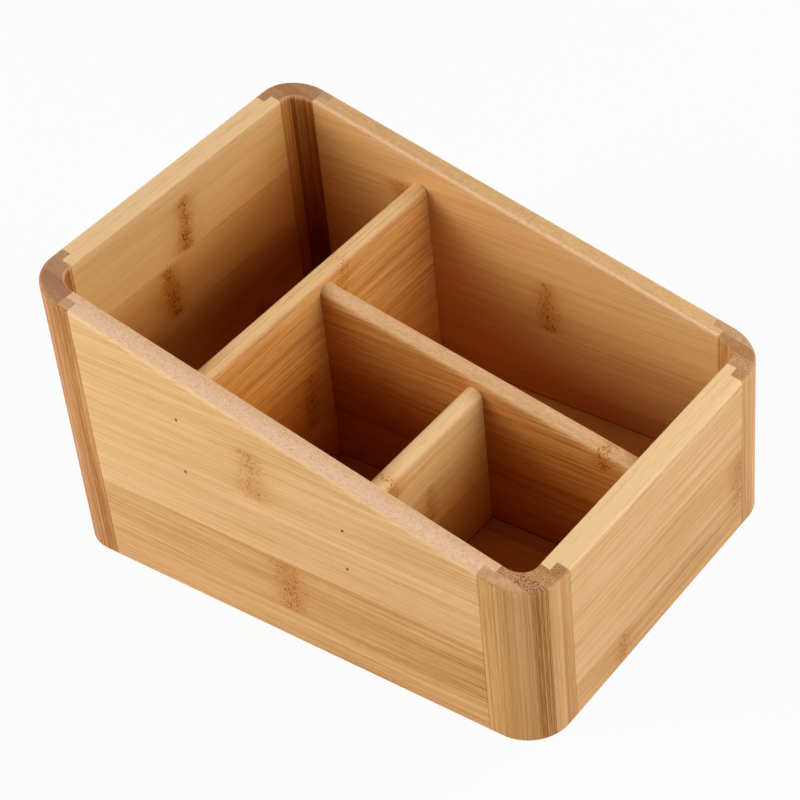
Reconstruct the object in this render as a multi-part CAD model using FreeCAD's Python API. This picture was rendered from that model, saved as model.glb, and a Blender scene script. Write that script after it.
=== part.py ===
import FreeCAD, Part
import os

# Open desk organizer box of laminated bamboo, in millimetres.
# Four walls are half-lapped into rounded corner posts, and the rim of all eight slopes down from the
# tall end to the low end. A thin floor sits in a groove of the walls, and three dividers stand on it,
# butted against the walls and against each other and held by pairs of brads.
# The origin is at the middle of the footprint, on the table: +X runs from the tall end to the low end,
# the near side wall is at -Y and +Z is up.

Vector = FreeCAD.Vector

# Outside of the box
length = 200.0
width = 145.0
tall_height = 114.5
low_height = 65.0
wall = 8.2
corner_radius = 15.4

# Corner posts: each leg ends at a shoulder, and its outer lip laps on over the wall's tongue
post_leg = 16.2
lip_thickness = 4.5
lip_length = 4.0

# Eased edges of the finished box
rim_round = 1.5
rim_ease = 0.4
foot_ease = 0.8

# Floor panel in its groove
floor_recess = 7.8
floor_panel = 4.0
groove_depth = 2.5
floor_gap = 0.3
groove_play = 0.1

# Dividers: pocket sizes set their places, and each drop is measured down from the sloping rim
divider = 6.6
divider_round = 3.0
tall_pocket_length = 50.2
middle_pocket_length = 59.2
far_pocket_width = 56.5
cross_drop = 9.3
short_drop = 14.2
long_drop_at_cross = 12.1
long_drop_at_low_end = 6.5

# Brads: headless chisel-pointed pins, a pair at each end of a divider
brad_length = 20.0
brad_width = 1.2
brad_thickness = 1.0
brad_point = 1.8
brad_set = 0.8
cross_brad_depth = 9.5
cross_brad_pitch = 22.4
short_brad_depth = 6.0
short_brad_pitch = 16.8
long_brad_depth = 12.5
long_brad_pitch = 17.0

# Places worked out from the sizes above
half_length = length / 2
half_width = width / 2
inner_x = half_length - wall
inner_y = half_width - wall
shoulder_x = half_length - post_leg
shoulder_y = half_width - post_leg
floor_top = floor_recess + floor_panel
cross_tall_face = -inner_x + tall_pocket_length
cross_low_face = cross_tall_face + divider
cross_x = cross_tall_face + divider / 2
short_x = cross_low_face + middle_pocket_length + divider / 2
long_far_face = inner_y - far_pocket_width
long_near_face = long_far_face - divider
long_y = long_far_face - divider / 2

tiny = 0.001


def rim_height(x):
    """Height of the sloping rim above the table at a place along the box."""
    return tall_height + (low_height - tall_height) * (x + half_length) / length


cross_top = rim_height(cross_x) - cross_drop
short_top = rim_height(short_x) - short_drop
long_top_at_cross = rim_height(cross_low_face) - long_drop_at_cross
long_top_at_low_end = rim_height(inner_x) - long_drop_at_low_end


def extruded(points, along):
    """Solid swept from a flat polygon."""
    outline = Part.makePolygon(points + points[:1])
    return Part.Face(outline).extrude(along)


def box_between(low, high):
    """Upright block between two opposite corners."""
    size = high - low
    return Part.makeBox(size.x, size.y, size.z, low)


def rounded_block(size_x, size_y, radius, height):
    """Block on the table, centred on the origin, with rounded upright edges."""
    block = box_between(Vector(-size_x / 2, -size_y / 2, 0), Vector(size_x / 2, size_y / 2, height))
    upright = [edge for edge in block.Edges if edge.BoundBox.ZLength > height / 2]
    return block.makeFillet(radius, upright)


def middle(edge):
    """Point halfway along an edge."""
    return edge.valueAt((edge.FirstParameter + edge.LastParameter) / 2)


def is_outside(point):
    """True for a point of the rim or foot that lies beyond the walls' inner faces."""
    return max(abs(point.x) - inner_x, abs(point.y) - inner_y) > tiny


def is_on_rim(point):
    """True for a point on the sloping top of the walls."""
    return abs(point.z - rim_height(point.x)) < tiny


def wall_ring():
    """Posts and walls as one ring, its rim cut on the slope and all its edges eased together."""
    outside = rounded_block(length, width, corner_radius, tall_height)
    inside = rounded_block(2 * inner_x, 2 * inner_y, corner_radius - wall, tall_height)
    slope = extruded(
        [
            Vector(-half_length, -half_width, 0),
            Vector(half_length, -half_width, 0),
            Vector(half_length, -half_width, low_height),
            Vector(-half_length, -half_width, tall_height),
        ],
        Vector(0, width, 0),
    )
    ring = outside.cut(inside).common(slope)
    outer_rim = [e for e in ring.Edges if is_on_rim(middle(e)) and is_outside(middle(e))]
    ring = ring.makeFillet(rim_round, outer_rim)
    inner_rim = [e for e in ring.Edges if is_on_rim(middle(e)) and not is_outside(middle(e))]
    ring = ring.makeChamfer(rim_ease, inner_rim)
    foot = [e for e in ring.Edges if middle(e).z < tiny and is_outside(middle(e))]
    return ring.makeChamfer(foot_ease, foot)


def post_zone(side_x, side_y):
    """Plan of one corner post as a tall prism: the corner square and a lip along each wall."""
    lip_x = half_length - lip_thickness
    lip_y = half_width - lip_thickness
    plan = [
        (length, width),
        (shoulder_x - lip_length, width),
        (shoulder_x - lip_length, lip_y),
        (shoulder_x, lip_y),
        (shoulder_x, shoulder_y),
        (lip_x, shoulder_y),
        (lip_x, shoulder_y - lip_length),
        (length, shoulder_y - lip_length),
    ]
    return extruded([Vector(side_x * x, side_y * y, 0) for x, y in plan], Vector(0, 0, tall_height))


def floor_groove():
    """Groove for the floor panel, run right through the inner face of every wall."""
    low_z = floor_recess
    high_z = floor_top + groove_play
    reach_x = inner_x + groove_depth
    reach_y = inner_y + groove_depth
    along_x = box_between(Vector(-half_length, -reach_y, low_z), Vector(half_length, reach_y, high_z))
    along_y = box_between(Vector(-reach_x, -half_width, low_z), Vector(reach_x, half_width, high_z))
    return along_x.common(along_y)


def floor_panel_solid():
    """Thin floor: its edges reach into the wall grooves, and its corners are notched round the posts."""
    reach_x = inner_x + groove_depth - floor_gap
    reach_y = inner_y + groove_depth - floor_gap
    end_x = shoulder_x - floor_gap
    end_y = shoulder_y - floor_gap
    along_y = box_between(Vector(-end_x, -reach_y, 0), Vector(end_x, reach_y, floor_panel))
    along_x = box_between(Vector(-reach_x, -end_y, 0), Vector(reach_x, end_y, floor_panel))
    cove = corner_radius - wall - floor_gap
    body = rounded_block(2 * (inner_x - floor_gap), 2 * (inner_y - floor_gap), cove, floor_panel)
    panel = body.fuse([along_x, along_y]).removeSplitter()
    return panel.translated(Vector(0, 0, floor_recess))


def level_divider(top, start, along):
    """Divider across the box with a level, rounded top: start is the middle of its foot at one end."""
    block = box_between(
        start - Vector(divider / 2, 0, 0),
        start + Vector(divider / 2, 0, top - start.z) + along,
    )
    edges = [e for e in block.Edges if e.BoundBox.YLength > divider_round and middle(e).z > top - tiny]
    return block.makeFillet(divider_round, edges)


def sloping_divider():
    """Divider along the box whose rounded top falls towards the low end."""
    board = extruded(
        [
            Vector(cross_low_face, long_near_face, floor_top),
            Vector(inner_x, long_near_face, floor_top),
            Vector(inner_x, long_near_face, long_top_at_low_end),
            Vector(cross_low_face, long_near_face, long_top_at_cross),
        ],
        Vector(0, divider, 0),
    )
    shoulder = min(long_top_at_low_end, long_top_at_cross) - tiny
    edges = [e for e in board.Edges if e.BoundBox.XLength > divider and middle(e).z > shoulder]
    return board.makeFillet(divider_round, edges)


def pin(start):
    """Flat pin along +X from a start to the brads' chisel point, its width upright."""
    tip = brad_set + brad_length
    half = brad_width / 2
    side = [(start, -half), (tip - brad_point, -half), (tip, 0), (tip - brad_point, half), (start, half)]
    points = [Vector(along, -brad_thickness / 2, up) for along, up in side]
    return extruded(points, Vector(0, brad_thickness, 0))


def brad():
    """Brad along +X, its top set a little below the surface at the origin."""
    return pin(brad_set)


def brad_hole():
    """Hole that a brad leaves, open to the surface above it."""
    return pin(-brad_set)


def driven(make, surface_points, heading):
    """Copies of a brad or of its hole at points on a surface, driven level along a heading."""
    turn = FreeCAD.Rotation(Vector(0, 0, 1), heading)
    copies = []
    for point in surface_points:
        copy = make()
        copy.Placement = FreeCAD.Placement(point, turn)
        copies.append(copy)
    return copies


def brad_places(x, y, top, depth, pitch):
    """Two points one above the other on a surface, the upper one a set depth below the divider's top."""
    return [Vector(x, y, top - depth), Vector(x, y, top - depth - pitch)]


# Headings of the brads, in degrees from +X
to_low_end = 0
to_far_side = 90
to_tall_end = 180
to_near_side = 270

# Each brad joint: where it is driven in, which way, and the two pieces that it goes through
cross_brads = (cross_top, cross_brad_depth, cross_brad_pitch)
short_brads = (short_top, short_brad_depth, short_brad_pitch)
low_end_brads = (long_top_at_low_end, long_brad_depth, long_brad_pitch)
cross_end_brads = (long_top_at_cross, long_brad_depth, long_brad_pitch)
brad_joints = {
    "cross_divider_near_brads": (
        brad_places(cross_x, -half_width, *cross_brads), to_far_side, ("near_side_wall", "cross_divider")),
    "cross_divider_far_brads": (
        brad_places(cross_x, half_width, *cross_brads), to_near_side, ("far_side_wall", "cross_divider")),
    "short_divider_near_brads": (
        brad_places(short_x, -half_width, *short_brads), to_far_side, ("near_side_wall", "short_divider")),
    "short_divider_far_brads": (
        brad_places(short_x, long_far_face, *short_brads), to_near_side, ("long_divider", "short_divider")),
    "long_divider_low_end_brads": (
        brad_places(half_length, long_y, *low_end_brads), to_tall_end, ("low_end_wall", "long_divider")),
    "long_divider_cross_brads": (
        brad_places(cross_tall_face, long_y, *cross_end_brads), to_low_end, ("cross_divider", "long_divider")),
}

# Posts and walls, parted from the one ring
ring = wall_ring()
post_names = {
    "tall_near_post": (-1, -1),
    "tall_far_post": (-1, 1),
    "low_near_post": (1, -1),
    "low_far_post": (1, 1),
}
zones = {name: post_zone(*sides) for name, sides in post_names.items()}
pieces = {name: ring.common(zone) for name, zone in zones.items()}

walls = ring.cut(list(zones.values())).cut(floor_groove())
wall_places = {
    "tall_end_wall": lambda centre: centre.x < -shoulder_x,
    "low_end_wall": lambda centre: centre.x > shoulder_x,
    "near_side_wall": lambda centre: centre.y < -shoulder_y,
    "far_side_wall": lambda centre: centre.y > shoulder_y,
}
for name, lies_there in wall_places.items():
    pieces[name] = next(solid for solid in walls.Solids if lies_there(solid.CenterOfMass))

# Floor and dividers
pieces["floor_panel"] = floor_panel_solid()
pieces["cross_divider"] = level_divider(
    cross_top, Vector(cross_x, -inner_y, floor_top), Vector(0, 2 * inner_y, 0))
pieces["short_divider"] = level_divider(
    short_top, Vector(short_x, -inner_y, floor_top), Vector(0, inner_y + long_near_face, 0))
pieces["long_divider"] = sloping_divider()

# Brads, and the holes that they leave in the pieces they join
for name, (places, heading, joined) in brad_joints.items():
    holes = driven(brad_hole, places, heading)
    for joined_name in joined:
        pieces[joined_name] = pieces[joined_name].cut(holes)
    pieces[name] = Part.makeCompound(driven(brad, places, heading))

os.makedirs("parts", exist_ok=True)
for name, shape in pieces.items():
    shape.exportStep("parts/" + name + ".step")
    print(name, len(shape.Solids), "solid(s)", round(shape.Volume, 1), "mm3, valid:", shape.isValid())
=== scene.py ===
import math
from dataclasses import dataclass

import bmesh
import bpy
from mathutils import Euler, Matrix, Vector


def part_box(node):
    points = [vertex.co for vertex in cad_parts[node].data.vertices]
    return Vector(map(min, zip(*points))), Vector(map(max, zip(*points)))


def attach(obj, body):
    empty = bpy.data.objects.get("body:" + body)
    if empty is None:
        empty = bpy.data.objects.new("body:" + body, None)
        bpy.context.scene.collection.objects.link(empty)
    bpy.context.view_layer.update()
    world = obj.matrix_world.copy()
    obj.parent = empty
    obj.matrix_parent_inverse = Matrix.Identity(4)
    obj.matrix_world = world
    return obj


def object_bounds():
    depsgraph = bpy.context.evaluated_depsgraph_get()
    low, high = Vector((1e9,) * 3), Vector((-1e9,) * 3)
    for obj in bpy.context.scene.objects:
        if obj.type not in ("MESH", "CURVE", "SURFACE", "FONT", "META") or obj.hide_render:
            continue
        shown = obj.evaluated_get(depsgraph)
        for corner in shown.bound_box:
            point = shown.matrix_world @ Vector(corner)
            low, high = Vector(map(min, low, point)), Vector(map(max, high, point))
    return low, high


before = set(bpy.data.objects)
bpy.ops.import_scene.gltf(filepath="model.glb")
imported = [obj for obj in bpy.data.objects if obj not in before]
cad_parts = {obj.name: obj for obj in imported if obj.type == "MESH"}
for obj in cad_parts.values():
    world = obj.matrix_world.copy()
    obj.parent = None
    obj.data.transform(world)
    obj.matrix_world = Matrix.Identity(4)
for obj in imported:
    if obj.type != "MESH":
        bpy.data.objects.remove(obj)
cad_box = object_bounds()

bl_info = {
    "name": "Bamboo organizer box",
    "version": (1, 0, 0),
    "blender": (4, 5, 0),
    "location": "3D View > Sidebar > Organizer",
    "description": "Dresses the packed organizer box in laminated bamboo and sets a plain studio round it",
    "category": "Object",
}

MM = 1000.0

# Places on the box in millimetres, in the part's own frame
HALF_LENGTH = cad_box[1].x * MM
INNER_X = 91.8
INNER_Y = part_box("cross_divider")[1].y * MM
RIM_TALL = 114.5
RIM_FALL = 0.2475
FLOOR_LOW, FLOOR_TOP = (corner.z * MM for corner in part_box("floor_panel"))
LAP_X, LAP_Y = 95.5, 68.0
LAP_BORDER = (0.01, -0.01)
LIP_X, LIP_Y = 79.8, 52.3
SHOULDER_X, SHOULDER_Y = 83.8, 56.3
CROSS_FACE, CROSS_TOP = -35.0, 89.93
SHORT_TOP = 68.74
LONG_NEAR, LONG_MIDDLE, LONG_FALL = 1.2, 79.19, 0.2033

# The filled brad holes in the low end wall, in metres
BRADS_LOW, BRADS_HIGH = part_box("long_divider_low_end_brads")
BRAD_HEIGHT = 0.0012
HOLE_PLAY = 0.00005
PLUG_EDGE = 0.00012

# Blackened steel and its flecks, with how many flecks and grains of putty there are to a metre
STEEL = (0.07, 0.055, 0.045)
STEEL_FLECK = (0.03, 0.022, 0.018)
FLECKS = 3000.0
GRAINS = 2500.0

# The middle of the box that the lamps face, the floor's half width and the camera's sensor in millimetres
AIM = Vector((0.0, 0.0, 0.05))
FLOOR_HALF = 3.0
SENSOR = 36.0


class BambooProperties(bpy.types.PropertyGroup):
    """Colours and sizes of the bamboo and its lacquer."""

    straw: bpy.props.FloatVectorProperty(
        name="Straw line", description="Palest fine lines in the boards",
        default=(0.94, 0.66, 0.36), min=0, max=1, subtype="COLOR")
    pale: bpy.props.FloatVectorProperty(
        name="Pale strip", description="Palest bamboo, near the heart of the stem",
        default=(0.84, 0.535, 0.255), min=0, max=1, subtype="COLOR")
    honey: bpy.props.FloatVectorProperty(
        name="Honey strip", description="Usual colour of the boards",
        default=(0.72, 0.423, 0.18), min=0, max=1, subtype="COLOR")
    amber: bpy.props.FloatVectorProperty(
        name="Amber strip", description="Darker strips, and the speckle of sloping cuts",
        default=(0.60, 0.304, 0.097), min=0, max=1, subtype="COLOR")
    brown: bpy.props.FloatVectorProperty(
        name="Brown strip", description="Darkest strips of the corner posts",
        default=(0.37, 0.138, 0.026), min=0, max=1, subtype="COLOR")
    flush: bpy.props.FloatVectorProperty(
        name="Flush", description="Orange brown flush beside a knot",
        default=(0.53, 0.24, 0.045), min=0, max=1, subtype="COLOR")
    knot: bpy.props.FloatVectorProperty(
        name="Knot", description="Specks in the band where the stem had a node",
        default=(0.18, 0.045, 0.002), min=0, max=1, subtype="COLOR")
    blush: bpy.props.FloatVectorProperty(
        name="Cut fibre", description="Pale pinkish tone where a sloping cut crosses the fibres",
        default=(0.97, 0.63, 0.41), min=0, max=1, subtype="COLOR")
    # Cream: tone of edges and level tops, partly sanding and partly painted top light and sheen, and of the
    # end grain's rings and lips
    cream: bpy.props.FloatVectorProperty(
        name="Sanded edge", description="Tone of sanded edges and level tops",
        default=(0.97, 0.64, 0.325), min=0, max=1, subtype="COLOR")
    # Painted inside shade: this warm colour is multiplied over the inside faces below their top edge,
    # standing in for warm interreflected shade
    inside_shade_colour: bpy.props.FloatVectorProperty(
        name="Warmth", description="Tint of the finish inside the box",
        default=(1.0, 0.985, 0.88), min=0, max=1, subtype="COLOR")
    strip: bpy.props.FloatProperty(
        name="Strip width", description="Width of one glued strip in the boards",
        default=0.0225, min=0.005, unit="LENGTH")
    lamina: bpy.props.FloatProperty(
        name="Post lamina", description="Thickness of one glued layer in the corner posts",
        default=0.0051, min=0.001, unit="LENGTH")
    bundle: bpy.props.FloatProperty(
        name="Bundle spacing", description="Distance between fibre bundles",
        default=0.0006, min=0.0002, unit="LENGTH")
    lacquer: bpy.props.FloatProperty(
        name="Lacquer roughness", description="Roughness of the satin lacquer",
        default=0.44, min=0, max=1, subtype="FACTOR")


class StageProperties(bpy.types.PropertyGroup):
    """Floor, lamps and camera."""

    paper: bpy.props.FloatVectorProperty(
        name="Floor", description="Colour of the plain floor",
        default=(0.9, 0.9, 0.9), min=0, max=1, subtype="COLOR")
    white: bpy.props.FloatProperty(
        name="White share", description="How far the floor that the camera sees goes over to plain white",
        default=0.93, min=0, max=1, subtype="FACTOR")
    sky: bpy.props.FloatProperty(
        name="Fill level", description="Even light from all round",
        default=0.09, min=0, max=2)
    softness: bpy.props.FloatProperty(
        name="Lamp softness", description="Side of each square lamp as a share of its distance",
        default=0.6, min=0.1, max=2)
    camera_place: bpy.props.FloatVectorProperty(
        name="Camera place", description="Where the camera stands",
        default=(0.41600, -0.49850, 0.59164), subtype="TRANSLATION", unit="LENGTH")
    camera_turn: bpy.props.FloatVectorProperty(
        name="Camera turn", description="Turn of the camera about X, Y and Z",
        default=[math.radians(turn) for turn in (50.14965, 4.84840, 36.07346)],
        subtype="EULER", unit="ROTATION")
    focal_length: bpy.props.FloatProperty(
        name="Focal length", description="Focal length on a 36 mm wide sensor, in millimetres",
        default=111.273, min=10, max=500)


class Value:
    """A shader socket in a Python sum: each operator adds one Math node to its finish."""

    def __init__(self, finish, socket):
        self.finish = finish
        self.socket = socket

    def __add__(self, other):
        return self.finish.maths("ADD", self, other)

    def __sub__(self, other):
        return self.finish.maths("SUBTRACT", self, other)

    def __rsub__(self, other):
        return self.finish.maths("SUBTRACT", other, self)

    def __mul__(self, other):
        return self.finish.maths("MULTIPLY", self, other)

    def __truediv__(self, other):
        return self.finish.maths("DIVIDE", self, other)

    def __abs__(self):
        return self.finish.maths("ABSOLUTE", self)

    __radd__ = __add__
    __rmul__ = __mul__


class Finish:
    """One procedural material or world while its nodes are laid out."""

    def __init__(self, block):
        block.use_nodes = True
        self.block = block
        self.tree = block.node_tree
        self.tree.nodes.clear()

    def node(self, kind, settings=None, sockets=None, output=0):
        """Adds a node: first its settings, then the values or links of its sockets."""
        made = self.tree.nodes.new(kind)
        for key, value in (settings or {}).items():
            if key == "stops":
                ramp = made.color_ramp
                while len(ramp.elements) < len(value):
                    ramp.elements.new(1.0)
                for element, (position, colour) in zip(ramp.elements, value):
                    element.position = position
                    element.color = colour
            elif key == "interpolation":
                made.color_ramp.interpolation = value
            else:
                setattr(made, key, value)
        for key, value in (sockets or {}).items():
            socket = self.pick(made.inputs, key)
            if isinstance(value, Value):
                self.tree.links.new(value.socket, socket)
            else:
                socket.default_value = value
        return None if output is None else Value(self, self.pick(made.outputs, output))

    @staticmethod
    def pick(sockets, key):
        """The socket with that number, or the usable one with that name."""
        if isinstance(key, int):
            return [s for s in sockets if s.enabled][key]
        return next(s for s in sockets if s.enabled and s.name == key)

    def maths(self, operation, *terms):
        return self.node("ShaderNodeMath", {"operation": operation}, dict(enumerate(terms)))

    def smooth(self, value, start, end):
        """0 before start, 1 after end, and a smooth step between."""
        return self.node("ShaderNodeMapRange", {"interpolation_type": "SMOOTHSTEP"},
                         {"Value": value, "From Min": start, "From Max": end})

    def border(self, value, at, ends):
        """The smooth step whose two ends are given from that place."""
        start, end = ends
        return self.smooth(value, at + start, at + end)

    def bell(self, value, width):
        """1 where value is 0, falling off within about that width on both sides."""
        return self.maths("EXPONENT", value * value * (-1.0 / width ** 2))

    def mix(self, share, first, second):
        """The first colour, going over to the second one as share goes to 1."""
        return self.node("ShaderNodeMix", {"data_type": "RGBA"},
                         {"Factor": share, "A": colour(first), "B": colour(second)})

    def ramp(self, stops, value, interpolation="LINEAR"):
        """The colour at that value between the stops."""
        return self.node("ShaderNodeValToRGB", {"stops": stops, "interpolation": interpolation}, {0: value})

    def coordinates(self, scale):
        """The piece's own coordinates times that scale."""
        place = self.node("ShaderNodeTexCoord", None, None, "Object")
        return self.node("ShaderNodeVectorMath", {"operation": "SCALE"}, {0: place, "Scale": scale})

    def vector(self, *parts):
        return self.node("ShaderNodeCombineXYZ", None, dict(enumerate(parts)))

    def noise(self, vector, detail=2.0, roughness=0.5):
        return self.node("ShaderNodeTexNoise", None,
                         {"Vector": vector, "Scale": 1.0, "Detail": detail, "Roughness": roughness})

    def cells(self, vector, looseness):
        """Distance from the middle of the nearest cell of a loose grid."""
        return self.node("ShaderNodeTexVoronoi", None,
                         {"Vector": vector, "Scale": 1.0, "Randomness": looseness})

    def split(self, vector):
        """The X, Y and Z values of a vector."""
        first = self.node("ShaderNodeSeparateXYZ", None, {0: vector})
        outputs = first.socket.node.outputs
        return [Value(self, outputs[axis]) for axis in "XYZ"]

    def close(self, **sockets):
        """Ends the material in one shader with these socket values."""
        named = {key.replace("_", " "): value for key, value in sockets.items()}
        shader = self.node("ShaderNodeBsdfPrincipled", None, named)
        self.node("ShaderNodeOutputMaterial", None, {"Surface": shader}, output=None)
        return self.block


def colour(value):
    """A plain colour with its alpha, or a socket as it is."""
    return value if isinstance(value, Value) else (*value, 1.0)


@dataclass
class Board:
    """How one board is glued up, cut and finished, with its lengths in millimetres."""

    # The axes along the fibres and across the strips, and each strip's tone from 0, pale, to 1, brown
    fibre: str
    across: str
    tones: tuple
    # Where one glue line lies, and a function that gives the height of the top edge
    seam: float
    crest: object
    # Width of a strip, where it isn't the usual one, and a shift of the patterns
    pitch: float = 0.0
    seed: float = 0.0
    # Strength of the broad streaks and of the fine lines, and how fast the lines change along the fibre
    figure: float = 1.0
    grain: float = 1.0
    run: float = 0.024
    # Stronger lines in dark strips, a painted light falloff along the fibre as a change of tone per
    # millimetre, and a deepening of the colour all over
    rise: float = 0.0
    shade: float = 0.0
    ripe: float = 0.0
    # Depth below the top edge where the painted inside shade is darkest, and how that depth shifts along
    # the fibre to shape the painted shade
    reach: float = 74.0
    lean: float = 0.0
    # Each knot's place along the fibre, its two ends across, its slant and its strength, and then
    # the half width of the knots' bands and the strength of their specks
    knots: tuple = ()
    node: float = 4.2
    specks: float = 1.0
    # How pale edges and level tops go, partly from sanding and partly as painted top light and sheen, and
    # the width of the pale band below the top edge, partly a painted lit band
    sanded_lit: float = 0.62
    band: float = 2.0
    # How pale and speckled a sloping cut is, and from where to where it turns fresh, with its least share
    blush: float = 0.6
    mottle: float = 1.0
    worn: tuple = (0.0, 1.0, 1.0)
    # Colours of the layers in the end grain, and how pale it is on the lips
    tops: tuple = None
    lip: float = 0.0
    # A function that gives the places of the end joints, and how dark they are
    ends: object = None
    joint: float = 0.45

    @property
    def through(self):
        """The axis through the board."""
        return next(axis for axis in "xyz" if axis not in (self.fibre, self.across))


def rim_crest(place):
    """Height of the box's sloping rim above the table."""
    return RIM_TALL - (place["x"] + HALF_LENGTH) * RIM_FALL


def level_crest(height):
    """A level top edge at that height."""
    return lambda place: height


def long_crest(place):
    """Height of the long divider's sloping top."""
    return LONG_MIDDLE - place["x"] * LONG_FALL


class Bamboo:
    """Laminated bamboo as a solid: strips, fibres, knots, pale edges and tops that are partly sanding and
    partly painted top light, dark joints, and painted shade inside the box.
    """

    # Frequencies of the patterns per millimetre, along the fibre and across it
    WOBBLE = (0.15, 0.12)
    BEND = (0.008, 0.03)
    STREAK = (0.004, 0.42)
    HAIR_ACROSS = 2.2
    FLECK = (0.16, 3.2)
    DRIFT = (0.014, 0.05)
    MOTTLE = (0.4, 2.6)
    SPECK = (1.6, 1.0, 1.3)
    CRUMB = (0.4, 0.22, 0.22)
    BUNDLE_RUN = 0.055
    BUNDLE_STRETCH = 1.15
    BUNDLE_LOOSENESS = 0.6

    # How far knots wander and fibres swerve, and the width of a knot's flush beside that of its band
    KNOT_WANDER = 4.0
    SWERVE = 1.6
    KNOT_PUSH = 0.25
    FLUSH_WIDTH = 2.7

    # Strength of each pattern in the tone, and how the tone lies on the ramp from straw to brown
    STREAK_SHARE = 0.5
    HAIR_SHARE = 0.95
    FLECK_SHARE = 0.4
    DRIFT_SHARE = 0.35
    RISE_FROM = 0.6
    # CALM_BELOW damps the lines where the painted inside shade is deep
    CALM_BELOW = 0.7
    RAMP_SCALE = 0.7
    RAMP_START = 0.3

    # How strongly each mark is mixed over the wood
    SEAM_SHARE = 0.2
    KNOT_FLUSH = 0.28
    KNOT_BAND = 0.24
    SPECK_SHARE = 0.28
    SPECKLE_SHARE = 0.34
    OLD_CUT_SHARE = 0.22
    LINED_SHARE = 0.48
    ARRIS_WEAR_HIGHLIGHT_SHARE = 0.4
    FRAY_SHARE = 0.2
    LAYER_SHARE = 0.32
    RING_SHARE = 0.35
    FOOT_SHADE_SHARE = 0.6

    # Gamma of the painted inside shade: a little all over inside, more towards the pocket floors, and less
    # in the open pocket
    INSIDE_SHADE_GAMMA = 0.04
    DEPTH_SHADE_GAMMA = 0.72
    OPEN_POCKET_LESS_SHADE = 0.38

    # Soft borders from start to end in millimetres
    WALL_BORDER = (0.5, 0.1)
    GROOVE = 0.5
    DEPTH_START = 4.0
    INSIDE_SHADE_BELOW = (2.0, 8.0)
    OPEN_Y = (4.0, 9.0)
    OPEN_X = (-37.0, -34.0)
    KNOT_END = (-0.5, 1.8)
    GLUE_LINE = (0.22, 0.04)
    JOINT_LINE = (0.4, 0.1)
    FOOT_SHADE_LINE = (0.9, 0.2)
    FRAY = (1.7, 1.1)
    FRAY_DEPTH = 15.0
    RIM_DEPTH = 3.0
    DOTS_X = (87.5, 90.5)
    LIP_BORDER = (0.1, -0.1)

    # Soft borders as a share of the surface's direction
    SLOPE_CUT = (0.12, 0.2)
    END_CUT = (0.55, 0.85)
    TOP_FACE = (0.1, 0.5)
    LEVEL_FACE = (0.5, 0.9)
    ARRIS_WEAR_HIGHLIGHT_FACE = (0.6, 0.22)

    # Soft borders in the patterns' values
    SPECKLE = (-0.06, 0.2)
    LINED = (-0.02, 0.16)
    CLOUD = (-0.12, 0.14)
    SPECK_EDGE = (0.5, 0.64)
    CLUSTER = (0.36, 0.6)
    DOT = (0.42, 0.22)
    RING = (0.42, 0.62)

    # Strength and depth of the relief, and the level of the lacquer's reflection
    RELIEF = 0.25
    RELIEF_DEPTH = 0.00012
    GLOSS = 0.2

    def __init__(self, name, board, props):
        self.board = board
        self.props = props
        self.f = f = Finish(bpy.data.materials.new(name))
        self.place = dict(zip("xyz", f.split(f.coordinates(MM))))
        normal = f.node("ShaderNodeTexCoord", None, None, "Normal")
        self.facing = dict(zip("xyz", f.split(normal)))
        self.along, self.across, self.through = (
            self.place[axis] for axis in (board.fibre, board.across, board.through))
        self.pitch = board.pitch or props.strip * MM
        self.find_depth()
        self.find_knots()
        self.lay_fibres()
        self.find_cuts()

    def material(self):
        """The finished material, built up from the strips to the finish."""
        f = self.f
        wood = self.strips()
        wood = self.sloping_cut(wood)
        wood = self.sanded_and_lit_edges(wood)
        if self.board.knots:
            wood = self.knot_specks(wood)
        if self.board.tops:
            wood = self.end_grain(wood)
        wood, gap = self.joints(wood)
        wood = self.inside_painted_shade(wood)
        rough = (self.props.lacquer + self.hair * 0.25 + self.fleck * 0.2 + gap * 0.3
                 + self.edge * 0.14 + self.bare * 0.1)
        relief = self.hair * 0.5 + self.fleck * 0.3 - self.glue * 0.5 - gap
        bump = f.node("ShaderNodeBump", None,
                      {"Strength": self.RELIEF, "Distance": self.RELIEF_DEPTH, "Height": relief})
        return f.close(Base_Color=wood, Roughness=rough, Normal=bump, Specular_IOR_Level=self.GLOSS)

    def pattern(self, frequency, across, detail, roughness=0.5):
        """Noise about 0 with these frequencies along the fibre and across it."""
        lengthwise, crosswise = frequency
        through = self.through * crosswise + self.board.seed
        return self.f.noise(self.f.vector(self.along * lengthwise, across * crosswise, through),
                            detail, roughness) - 0.5

    def find_depth(self):
        """Where the inside of the box is, and how deep below the board's top edge, which places the painted
        inside shade.
        """
        f, board, place = self.f, self.board, self.place
        self.indoors = (f.border(abs(place["x"]), INNER_X, self.WALL_BORDER)
                        * f.border(abs(place["y"]), INNER_Y, self.WALL_BORDER)
                        * f.smooth(place["z"], FLOOR_LOW, FLOOR_TOP - self.GROOVE))
        self.below = board.crest(place) - place["z"]
        # Painted shade: the depth leans along the fibre and is eased in the open pocket, shaping the
        # painted inside shade
        leaning = self.below + self.along * board.lean
        self.depth = f.smooth(leaning, self.DEPTH_START, board.reach) * self.indoors
        self.open_side = f.smooth(place["y"], *self.OPEN_Y) * f.smooth(place["x"], *self.OPEN_X)

    def find_knots(self):
        """Each knot is a band across one strip, with a flush along the grain on both sides."""
        f, board = self.f, self.board
        self.wobble = self.pattern(self.WOBBLE, self.across, 3.0) * self.KNOT_WANDER
        self.band = 0.0
        self.flush = 0.0
        for at, low, high, slant, force in board.knots:
            off = self.along - at - (self.across - (low + high) / 2) * slant + self.wobble
            outer, inner = self.KNOT_END
            window = (f.smooth(self.across, low + outer, low + inner)
                      * f.smooth(self.across, high - outer, high - inner) * force)
            self.band = self.band + f.bell(off, board.node) * window
            self.flush = self.flush + f.bell(off + self.wobble, board.node * self.FLUSH_WIDTH) * window

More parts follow.
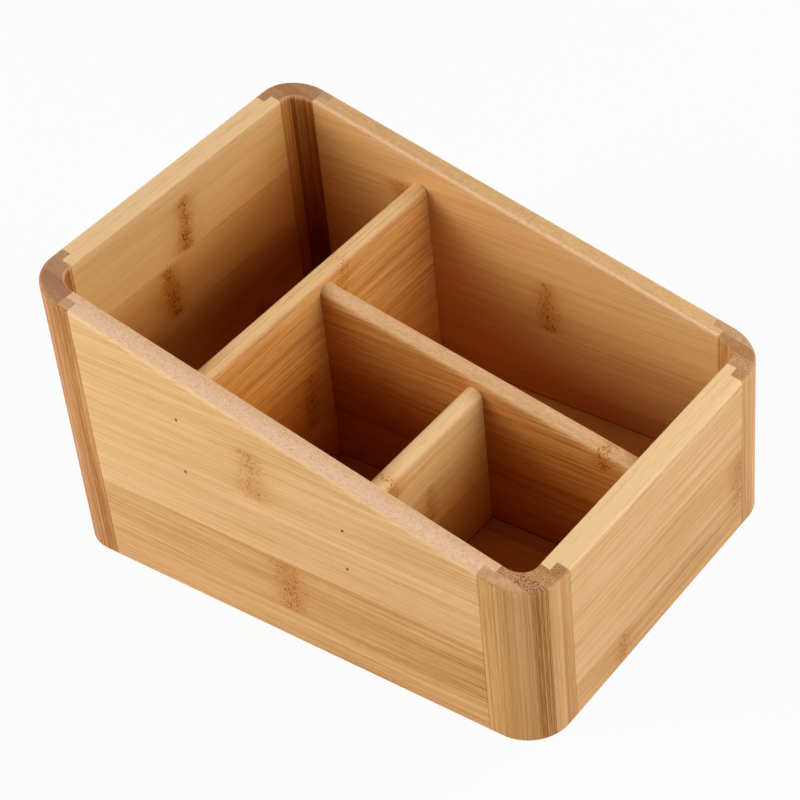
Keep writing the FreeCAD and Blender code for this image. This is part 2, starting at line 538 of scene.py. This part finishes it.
    def lay_fibres(self):
        """Fibres run nearly straight, and swerve beside a knot."""
        f, board = self.f, self.board
        bend = self.pattern(self.BEND, self.across, 1.0) * self.SWERVE
        if board.knots:
            bend = bend + self.wobble * self.flush * self.KNOT_PUSH
        self.bent = self.across + bend
        self.streak = self.pattern(self.STREAK, self.bent, 1.0)
        self.hair = self.pattern((board.run, self.HAIR_ACROSS), self.bent, 2.0, 0.6)
        self.fleck = self.pattern(self.FLECK, self.bent, 2.0)
        self.mottle = self.pattern(self.MOTTLE, self.across, 3.0, 0.6)
        lengthwise, crosswise = self.DRIFT
        self.drift = f.noise(f.vector(self.along * lengthwise + board.seed, self.bent * crosswise,
                                      self.through * crosswise), 2.0) - 0.5

    def find_cuts(self):
        """How squarely the surface cuts the fibres: a bare slope, or end grain."""
        f, board = self.f, self.board
        cut = abs(self.facing[board.fibre])
        self.slope = f.smooth(cut + self.hair * 0.1 + self.fleck * 0.4, *self.SLOPE_CUT)
        self.end = f.smooth(cut, *self.END_CUT)
        self.bare = self.slope * (1 - self.end) * (self.indoors if board.tops else 1.0)
        # Painted top light: upward faces and a band below the top edge go paler, partly sanding and partly
        # painted top light, sheen and a painted lit band
        top = f.smooth(self.facing["z"] + self.hair * 0.6, *self.TOP_FACE)
        rim = f.smooth(self.below + self.hair * self.RIM_DEPTH, board.band, board.band * 0.3) * 0.7
        self.edge = f.maths("MAXIMUM", top, rim)

    def strips(self):
        """Glued strips, each with its tone from pale to brown, fine lines and the flush of its knots."""
        f, board, props = self.f, self.board, self.props
        count = len(board.tones)
        self.strip = (self.across - (board.seam - self.pitch)) / (self.pitch * count)
        stops = [(i / count, (tone, tone, tone, 1.0)) for i, tone in enumerate(board.tones)]
        level = f.ramp(stops, self.strip, "CONSTANT")
        lines = (self.streak * (self.STREAK_SHARE * board.figure)
                 + self.hair * (self.HAIR_SHARE * board.grain)
                 + self.fleck * (self.FLECK_SHARE * board.grain))
        # Painted shade: the lines are damped where the painted inside shade is deep
        lines = lines * (1 - self.depth * self.CALM_BELOW) * (1 + (level - self.RISE_FROM) * board.rise)
        # Painted light falloff: board.shade makes the board lighter at one end and darker at the other, as
        # light falls across it
        tone = level + self.along * board.shade + self.drift * self.DRIFT_SHARE + lines
        stops = [(0.0, colour(props.straw)), (0.3, colour(props.pale)), (0.55, colour(props.honey)),
                 (0.75, colour(props.amber)), (1.0, colour(props.brown))]
        wood = f.ramp(stops, tone * self.RAMP_SCALE + self.RAMP_START)
        from_seam = f.maths("PINGPONG", self.across - board.seam, self.pitch / 2)
        self.glue = f.smooth(from_seam, *self.GLUE_LINE)
        wood = f.mix(self.glue * self.SEAM_SHARE, wood, props.brown)
        wood = f.node("ShaderNodeGamma", None, {"Color": wood, "Gamma": 1.0 + board.ripe})
        if board.knots:
            wood = f.mix(self.flush * self.KNOT_FLUSH + self.band * self.KNOT_BAND, wood, props.flush)
        return wood

    def sloping_cut(self, wood):
        """A cut across the fibres shows as a pale speckled slope."""
        f, board, props = self.f, self.board, self.props
        start, full, least = board.worn
        fresh = f.smooth(self.through, start, full) * (1 - least) + least
        uneven = 0.95 - self.fleck * 0.8 - self.mottle * 0.8 * board.mottle
        wood = f.mix(self.bare * board.blush * fresh * uneven, wood, props.blush)
        speckle = f.smooth(self.fleck * 0.5 + self.mottle, *self.SPECKLE)
        wood = f.mix(self.bare * speckle * self.SPECKLE_SHARE * board.mottle, wood, props.amber)
        return f.mix(self.bare * (1 - fresh) * self.OLD_CUT_SHARE, wood, props.amber)

    def sanded_and_lit_edges(self, wood):
        """Level tops and edges are paler, partly from sanding and partly as painted top light and sheen,
        with a ragged border.
        """
        f, board, props = self.f, self.board, self.props
        lines = f.smooth(self.hair * 0.6 + self.fleck * 0.6 + self.streak * 0.5, *self.LINED)
        lined = f.mix(lines * self.LINED_SHARE, props.cream, props.honey)
        wood = f.mix(self.edge * (1 - self.end) * (1 - self.slope) * board.sanded_lit, wood, lined)
        if board.tops:
            return wood
        ragged = self.below + (self.hair + self.fleck) * self.FRAY_DEPTH
        frayed = f.smooth(ragged, *self.FRAY) * self.FRAY_SHARE
        # Rounded edges get a pale straw line, partly edge wear and partly a painted highlight
        middle, width = self.ARRIS_WEAR_HIGHLIGHT_FACE
        arris_wear_and_highlight = f.bell(self.facing["z"] - middle, width) * self.ARRIS_WEAR_HIGHLIGHT_SHARE
        return f.mix(f.maths("MAXIMUM", arris_wear_and_highlight, frayed) * (1 - self.slope), wood, props.straw)

    def knot_specks(self, wood):
        """Dark specks in the knots, in clusters."""
        f, seed = self.f, self.board.seed
        a, b, c = self.SPECK
        speck = f.noise(f.vector(self.along * a + seed, self.across * b, self.through * c), 2.0, 0.6)
        a, b, c = self.CRUMB
        crumb = f.noise(f.vector(self.along * a, self.across * b + seed, self.through * c), 2.0)
        cluster = 0.2 + 0.8 * f.smooth(crumb, *self.CLUSTER)
        darker = self.band * f.smooth(speck, *self.SPECK_EDGE) * cluster * self.board.specks
        wood = f.node("ShaderNodeGamma", None,
                      {"Color": wood, "Gamma": 1 + self.band * 0.06 + darker * 1.05})
        return f.mix(darker * self.SPECK_SHARE, wood, self.props.knot)

    def end_grain(self, wood):
        """Each layer of the end grain has its own tone, with the fibre bundles as dots."""
        f, board, props = self.f, self.board, self.props
        bundle = props.bundle * MM
        spot = f.cells(f.vector(self.along * self.BUNDLE_RUN + board.seed, self.bent / bundle,
                                self.through / (bundle * self.BUNDLE_STRETCH)), self.BUNDLE_LOOSENESS)
        stops = [(i / len(board.tops), top) for i, top in enumerate(board.tops)]
        layer = f.ramp(stops, self.strip, "CONSTANT")
        share = Value(f, layer.socket.node.outputs["Alpha"])
        corner = f.smooth(abs(self.place["x"]), *self.DOTS_X) * 0.88 + 0.12
        dots = f.smooth(spot, *self.DOT) * share * corner
        ring = f.smooth(spot, *self.RING) * share * self.RING_SHARE
        cloud = f.smooth(self.streak + self.hair * 0.5 + self.mottle * 0.6, *self.CLOUD)
        layer = f.mix(cloud * self.LAYER_SHARE, layer, props.brown)
        layer = f.mix(dots, f.mix(ring, layer, props.cream), props.knot)
        lip = (f.border(abs(self.place["x"]), SHOULDER_X, self.LIP_BORDER)
               * (0.75 + self.mottle * 1.2) * board.lip)
        return f.mix(self.end, wood, f.mix(lip, layer, props.cream))

    def joints(self, wood):
        """Thin dark joints at the ends of the board, and a painted shade line along the bottom of the
        inside faces where they meet the floor.
        """
        f, board, props = self.f, self.board, self.props
        gap = 0.0
        if board.ends:
            low, high = board.ends(f, self.place)
            gap = f.maths("MAXIMUM", f.smooth(self.along - low, *self.JOINT_LINE),
                          f.smooth(high - self.along, *self.JOINT_LINE))
            wood = f.mix(gap * board.joint, wood, props.knot)
        # Painted shade: a dark line along the bottom of the inside faces, in the corner with the floor
        foot_shade = (f.border(self.place["z"], FLOOR_TOP, self.FOOT_SHADE_LINE) * self.indoors
                * (1 - f.smooth(self.facing["z"], *self.LEVEL_FACE)))
        return f.mix(foot_shade * self.FOOT_SHADE_SHARE, wood, props.knot), gap

    def inside_painted_shade(self, wood):
        """Painted inside shade: the inside is warmer, and darker and redder towards the pocket floors, as
        painted shade and warm interreflection.
        """
        f = self.f
        # Painted shade: a warm colour over the inside faces, and a gamma that darkens them a little all
        # over and much more with depth
        inside_shade_share = self.indoors * f.smooth(self.below, *self.INSIDE_SHADE_BELOW)
        wood = f.node("ShaderNodeMix", {"data_type": "RGBA", "blend_type": "MULTIPLY"},
                      {"Factor": inside_shade_share, "A": wood, "B": colour(self.props.inside_shade_colour)})
        depth_shade = self.depth * (self.DEPTH_SHADE_GAMMA - self.open_side * self.OPEN_POCKET_LESS_SHADE)
        return f.node("ShaderNodeGamma", None,
                      {"Color": wood, "Gamma": 1 + self.indoors * self.INSIDE_SHADE_GAMMA + depth_shade})


def butted(low, high):
    """Joints of a divider that is butted at both ends."""
    return lambda f, place: (low, high)


def lapped(through, lap, outer, inner):
    """Joints of a wall: its outer face ends at the post's lip and its inner one at the shoulder."""
    def ends(f, place):
        reach = f.border(abs(place[through]), lap, LAP_BORDER) * (inner - outer) + outer
        return 0 - reach, reach
    return ends


SIDE_JOINTS = lapped("y", LAP_Y, LIP_X, SHOULDER_X)
END_JOINTS = lapped("x", LAP_X, LIP_Y, SHOULDER_Y)

# Each wall's shade setting is a painted light falloff along the board
WALLS = {
    "near_side_wall": Board(
        "x", "z", (0.5, 0.56, 0.28, 0.35, 0.35, 0.38), 13.5, rim_crest, seed=3.1, figure=1.05, ripe=0.025,
        shade=0.001, blush=1.0, mottle=1.05, worn=(-65.5, -70.0, 0.66), node=4.8, specks=0.8,
        knots=((-8.8, 58.5, 81.0, 0.0, 0.85), (0.8, 13.5, 36.0, -0.03, 1.3)), ends=SIDE_JOINTS),
    "far_side_wall": Board(
        "x", "z", (0.28, 0.14, 0.08, 0.06, 0.08, 0.16), 20.5, rim_crest, seed=11.7, grain=0.8, ripe=0.17,
        shade=-0.001, blush=0.8, worn=(66.4, 64.9, 0.18), sanded_lit=0.2, node=3.4,
        knots=((14.2, 43.0, 65.5, -0.04, 1.05), (-46.5, 78.0, 88.0, 0.1, 1.0),
               (-70.0, 20.5, 43.0, 0.05, 0.8)),
        ends=SIDE_JOINTS),
    "tall_end_wall": Board(
        "y", "z", (0.32, 0.28, 0.38, 0.26, 0.1, 0.12), 16.0, rim_crest, seed=23.9, figure=0.7, grain=0.7,
        ripe=0.05, shade=0.0005, sanded_lit=0.78, reach=61.0, lean=0.14, node=3.1,
        knots=((-1.0, 83.5, 106.0, 0.08, 1.4), (-12.8, 61.0, 83.5, -0.08, 1.15),
               (30.0, 16.0, 38.5, 0.05, 0.8)),
        ends=END_JOINTS),
    "low_end_wall": Board(
        "y", "z", (0.6, 0.44, 0.41, 0.44), 14.2, rim_crest, seed=31.3, figure=0.95, grain=0.85,
        shade=0.0005, sanded_lit=0.95, node=3.6,
        knots=((49.3, 12.5, 36.0, -0.02, 1.1), (-24.2, 1.0, 14.0, 0.15, 0.95)), ends=END_JOINTS),
}

DIVIDERS = {
    "cross_divider": Board(
        "y", "z", (0.08, 0.07, -0.02, -0.04, -0.08), 33.0, level_crest(CROSS_TOP), seed=41.1, figure=2.0,
        grain=1.9, ripe=0.54, sanded_lit=0.6, band=4.5, joint=0.25, reach=62.0, lean=-0.22, node=3.4,
        knots=((-10.2, 33.0, 55.5, 0.1, 0.8), (14.5, 74.0, 92.0, 0.06, 0.7)),
        ends=butted(-INNER_Y, INNER_Y)),
    "short_divider": Board(
        "y", "z", (0.2, 0.0, -0.4, -0.42), 33.0, level_crest(SHORT_TOP), seed=53.7, figure=1.3,
        grain=1.2, ripe=0.1, sanded_lit=0.95, band=5.0, joint=0.25, reach=36.0, lean=0.3, node=2.6,
        knots=((-50.0, 58.0, 70.0, 0.0, 1.3), (-31.5, 36.0, 52.0, 0.1, 0.7)),
        ends=butted(-INNER_Y, LONG_NEAR)),
    "long_divider": Board(
        "x", "z", (0.36, 0.49, 0.38, 0.32, 0.24), 31.5, long_crest, seed=61.3, figure=1.2, grain=1.3,
        ripe=0.45, sanded_lit=0.6, blush=0.68, mottle=0.7, worn=(7.5, 2.0, 0.55), band=5.0, joint=0.3,
        reach=60.0, node=2.6,
        knots=((78.3, 54.0, 66.0, 0.0, 1.6), (20.0, 31.5, 54.0, 0.05, 0.8)),
        ends=butted(CROSS_FACE, INNER_X)),
}

# In the posts the last number of each top is how strongly the fibre bundles show as dots
POSTS = {
    "tall_near_post": Board(
        "z", "y", (0.78, 0.82, 0.9, 0.8, 0.76), -68.0, rim_crest, seed=71.9, figure=1.2, grain=1.3,
        run=0.02, ripe=0.1, lip=0.4, knots=((52.0, -73.0, -66.0, 0.4, 0.35),),
        tops=((0.46, 0.235, 0.125, 0.1), (0.43, 0.205, 0.11, 0.08), (0.5, 0.27, 0.135, 0.15),
              (0.54, 0.31, 0.16, 0.4), (0.54, 0.31, 0.16, 0.4))),
    "tall_far_post": Board(
        "z", "y", (0.72, 0.74, 0.54, 0.86, 0.82, 0.8), 50.6, rim_crest, seed=83.3, figure=1.1, run=0.012,
        ripe=0.3, lip=0.3,
        tops=((0.47, 0.25, 0.125, 0.3), (0.47, 0.25, 0.125, 0.3), (0.49, 0.245, 0.105, 0.1),
              (0.44, 0.19, 0.08, 0.1), (0.46, 0.24, 0.12, 0.2), (0.5, 0.29, 0.17, 0.2))),
    "low_near_post": Board(
        "z", "y", (0.6, 0.87, 0.46, 0.64, 0.64), -67.8, rim_crest, seed=97.7, figure=0.5, run=0.008,
        rise=2.2, ripe=0.05, sanded_lit=0.2,
        tops=((0.70, 0.40, 0.20, 0.2), (0.45, 0.215, 0.1, 1.0), (0.60, 0.31, 0.133, 0.45),
              (0.47, 0.215, 0.08, 0.45), (0.45, 0.205, 0.075, 0.5))),
    "low_far_post": Board(
        "z", "y", (0.66, 0.68, 0.72, 0.62, 0.68), 52.0, rim_crest, seed=103.9, grain=1.2, run=0.015,
        sanded_lit=0.3,
        tops=((0.54, 0.28, 0.108, 0.4), (0.54, 0.28, 0.108, 0.4), (0.58, 0.31, 0.125, 0.45),
              (0.47, 0.215, 0.077, 0.15), (0.63, 0.36, 0.175, 0.15))),
}

FLOOR = {
    "floor_panel": Board(
        "x", "y", (0.5, 0.46, 0.4, 0.52, 0.2, 0.05, 0.1), -50.0, rim_crest, seed=113.1,
        ripe=0.2, sanded_lit=0.0,
        knots=((-60.0, -27.5, -5.0, 0.0, 0.8), (58.0, 17.5, 40.0, 0.0, 0.8))),
}


def dress(node, material):
    """Gives a CAD node one material in place of its own."""
    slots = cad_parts[node].data.materials
    slots.clear()
    slots.append(material)


def dress_boards(boards, props):
    """Gives each board of a table its own bamboo."""
    for node, board in boards.items():
        dress(node, Bamboo(node.replace("_", " ") + " bamboo", board, props).material())


def brad_steel():
    """Blackened steel with darker flecks."""
    f = Finish(bpy.data.materials.new("brad steel"))
    fleck = f.noise(f.coordinates(FLECKS), 3.0)
    shade = f.mix(f.smooth(fleck, 0.4, 0.65), STEEL, STEEL_FLECK)
    return f.close(Base_Color=shade, Metallic=1.0, Roughness=0.35 + fleck * 0.3)


def filler(props):
    """Wood putty, a little uneven in tone."""
    f = Finish(bpy.data.materials.new("putty"))
    grit = f.noise(f.coordinates(GRAINS), 2.0)
    shade = f.mix(f.smooth(grit, 0.35, 0.65), props.honey, props.amber)
    return f.close(Base_Color=shade, Roughness=0.5 + grit * 0.2)


class DressWalls(bpy.types.Operator):
    """Give the four walls their bamboo"""

    bl_idname = "organizer.dress_walls"
    bl_label = "Dress walls"

    def execute(self, context):
        dress_boards(WALLS, context.scene.organizer_bamboo)
        return {"FINISHED"}


class DressPosts(bpy.types.Operator):
    """Give the four corner posts their bamboo"""

    bl_idname = "organizer.dress_posts"
    bl_label = "Dress posts"

    def execute(self, context):
        props = context.scene.organizer_bamboo
        for board in POSTS.values():
            board.pitch = props.lamina * MM
        dress_boards(POSTS, props)
        return {"FINISHED"}


class DressDividers(bpy.types.Operator):
    """Give the three dividers their bamboo"""

    bl_idname = "organizer.dress_dividers"
    bl_label = "Dress dividers"

    def execute(self, context):
        dress_boards(DIVIDERS, context.scene.organizer_bamboo)
        return {"FINISHED"}


class DressFloor(bpy.types.Operator):
    """Give the floor panel its bamboo"""

    bl_idname = "organizer.dress_floor"
    bl_label = "Dress floor"

    def execute(self, context):
        dress_boards(FLOOR, context.scene.organizer_bamboo)
        return {"FINISHED"}


class DressBrads(bpy.types.Operator):
    """Give the brads their steel"""

    bl_idname = "organizer.dress_brads"
    bl_label = "Dress brads"

    def execute(self, context):
        steel = brad_steel()
        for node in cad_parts:
            if node.endswith("_brads"):
                dress(node, steel)
        return {"FINISHED"}


class FillHoles(bpy.types.Operator):
    """Fill the low end's brad holes flush with putty"""

    bl_idname = "organizer.fill_holes"
    bl_label = "Fill holes"

    def execute(self, context):
        putty = filler(context.scene.organizer_bamboo)
        hole = Vector((cad_box[1].x - BRADS_HIGH.x, BRADS_HIGH.y - BRADS_LOW.y, BRAD_HEIGHT))
        middle = Vector((cad_box[1].x + BRADS_HIGH.x, BRADS_LOW.y + BRADS_HIGH.y, 0.0)) / 2
        heights = (BRADS_HIGH.z - BRAD_HEIGHT / 2, BRADS_LOW.z + BRAD_HEIGHT / 2)
        for number, height in enumerate(heights, 1):
            shape = bmesh.new()
            bmesh.ops.create_cube(shape, size=1.0)
            bmesh.ops.scale(shape, vec=hole - Vector((HOLE_PLAY,) * 3), verts=shape.verts)
            bmesh.ops.bevel(shape, geom=shape.edges[:], offset=PLUG_EDGE, offset_type="OFFSET",
                            affect="EDGES", segments=2, profile=0.5, material=-1)
            bmesh.ops.translate(shape, vec=middle + Vector((0.0, 0.0, height)), verts=shape.verts)
            mesh = bpy.data.meshes.new(f"low_end_putty_{number}")
            shape.to_mesh(mesh)
            shape.free()
            plug = bpy.data.objects.new(mesh.name, mesh)
            context.scene.collection.objects.link(plug)
            mesh.materials.append(putty)
            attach(plug, "root")
        return {"FINISHED"}


class SetStage(bpy.types.Operator):
    """Lay the floor, hang the lamps and place the camera"""

    bl_idname = "organizer.set_stage"
    bl_label = "Set stage"

    # Bearing and height of each lamp in degrees, its distance in metres and its share of plain light
    LAMPS = {"front lamp": (-30, 27, 1.5, 0.54), "left lamp": (-56, 24, 1.0, 0.41),
             "right lamp": (102, 24, 1.0, 0.5), "back lamp": (160, 27, 1.5, 0.5)}

    def execute(self, context):
        stage = context.scene.organizer_stage
        self.lay_floor(stage)
        self.fill_sky(context.scene, stage)
        for name, (bearing, height, distance, level) in self.LAMPS.items():
            self.hang_lamp(context.scene, stage, name, bearing, height, distance, level)
        self.place_camera(context.scene, stage)
        context.scene.view_settings.view_transform = "Standard"
        return {"FINISHED"}

    @staticmethod
    def seen(f):
        """1 for the camera and for what it sees mirrored or through glass."""
        light = f.node("ShaderNodeLightPath", None, None, "Is Camera Ray")
        outputs = light.socket.node.outputs
        mirrored = f.maths("MAXIMUM", light, Value(f, outputs["Is Glossy Ray"]))
        return f.maths("MAXIMUM", mirrored, Value(f, outputs["Is Transmission Ray"]))

    def lay_floor(self, stage):
        shape = bmesh.new()
        bmesh.ops.create_grid(shape, x_segments=1, y_segments=1, size=FLOOR_HALF)
        mesh = bpy.data.meshes.new("floor")
        shape.to_mesh(mesh)
        shape.free()
        floor = bpy.data.objects.new("floor", mesh)
        bpy.context.scene.collection.objects.link(floor)
        f = Finish(bpy.data.materials.new("floor paper"))
        matt = f.node("ShaderNodeBsdfDiffuse", None, {"Color": colour(stage.paper)})
        white = f.node("ShaderNodeEmission", None, {"Color": (1.0, 1.0, 1.0, 1.0), "Strength": 1.0})
        both = f.node("ShaderNodeMixShader", None, {0: self.seen(f) * stage.white, 1: matt, 2: white})
        f.node("ShaderNodeOutputMaterial", None, {"Surface": both}, output=None)
        mesh.materials.append(f.block)

    def fill_sky(self, scene, stage):
        scene.world = bpy.data.worlds.new("studio")
        f = Finish(scene.world)
        seen = self.seen(f)
        level = seen + (1 - seen) * stage.sky
        sky = f.node("ShaderNodeBackground", None, {"Color": (1.0, 1.0, 1.0, 1.0), "Strength": level})
        f.node("ShaderNodeOutputWorld", None, {"Surface": sky}, output=None)

    @staticmethod
    def hang_lamp(scene, stage, name, bearing, height, distance, level):
        turn, lift = math.radians(bearing), math.radians(height)
        back = Vector((math.sin(turn) * math.cos(lift), -math.cos(turn) * math.cos(lift), math.sin(lift)))
        data = bpy.data.lights.new(name, "AREA")
        data.size = stage.softness * distance
        data.energy = level * math.pi ** 2 * distance ** 2
        lamp = bpy.data.objects.new(name, data)
        scene.collection.objects.link(lamp)
        lamp.location = AIM + back * distance
        lamp.rotation_euler = back.to_track_quat("Z", "Y").to_euler()

    @staticmethod
    def place_camera(scene, stage):
        data = bpy.data.cameras.new("camera")
        data.sensor_width = SENSOR
        data.lens = stage.focal_length
        camera = bpy.data.objects.new("camera", data)
        scene.collection.objects.link(camera)
        camera.location = stage.camera_place
        camera.rotation_euler = Euler(stage.camera_turn)
        scene.camera = camera


class OrganizerPanel(bpy.types.Panel):
    """Lists the organizer's steps and settings"""

    bl_idname = "VIEW3D_PT_organizer"
    bl_label = "Organizer box"
    bl_space_type = "VIEW_3D"
    bl_region_type = "UI"
    bl_category = "Organizer"

    def draw(self, context):
        for step in STEPS:
            self.layout.operator(step.bl_idname)
        for group in (context.scene.organizer_bamboo, context.scene.organizer_stage):
            column = self.layout.column()
            for name in group.__annotations__:
                column.prop(group, name)


STEPS = (DressWalls, DressPosts, DressDividers, DressFloor, DressBrads, FillHoles, SetStage)
CLASSES = (BambooProperties, StageProperties, *STEPS, OrganizerPanel)


def register():
    for cls in CLASSES:
        bpy.utils.register_class(cls)
    bpy.types.Scene.organizer_bamboo = bpy.props.PointerProperty(type=BambooProperties)
    bpy.types.Scene.organizer_stage = bpy.props.PointerProperty(type=StageProperties)


def unregister():
    del bpy.types.Scene.organizer_stage
    del bpy.types.Scene.organizer_bamboo
    for cls in reversed(CLASSES):
        bpy.utils.unregister_class(cls)


def main():
    register()
    bpy.ops.organizer.dress_walls()
    bpy.ops.organizer.dress_posts()
    bpy.ops.organizer.dress_dividers()
    bpy.ops.organizer.dress_floor()
    bpy.ops.organizer.dress_brads()
    bpy.ops.organizer.fill_holes()
    bpy.ops.organizer.set_stage()


if __name__ == "__main__":
    main()
